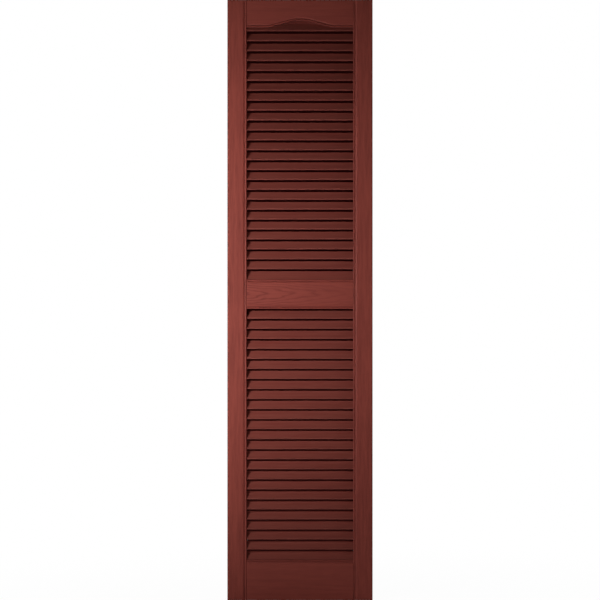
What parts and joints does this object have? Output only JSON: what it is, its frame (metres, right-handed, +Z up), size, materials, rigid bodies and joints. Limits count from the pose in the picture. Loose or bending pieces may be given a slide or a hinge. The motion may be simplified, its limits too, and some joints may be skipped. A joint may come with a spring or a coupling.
{
  "type": "louvred shutter",
  "caption": "Tall moulded exterior shutter panel with an arched top rail, a middle rail, fixed slanted louvres with open slots and a ribbed hollow back.",
  "frame": {"origin": "middle of the bottom edge of the back rim, on the wall plane", "axes": "+Z up the shutter's height, +Y back into the wall, +X to the right as seen from the front, which faces -Y"},
  "size_m": [0.3682, 0.0254, 1.524],
  "materials": {
    "burgundy_plastic": "through-coloured burgundy plastic, satin, embossed with wood grain on the front"
  },
  "bodies": {
    "root": {"shutter_panel": "burgundy_plastic"}
  },
  "joints": []
}
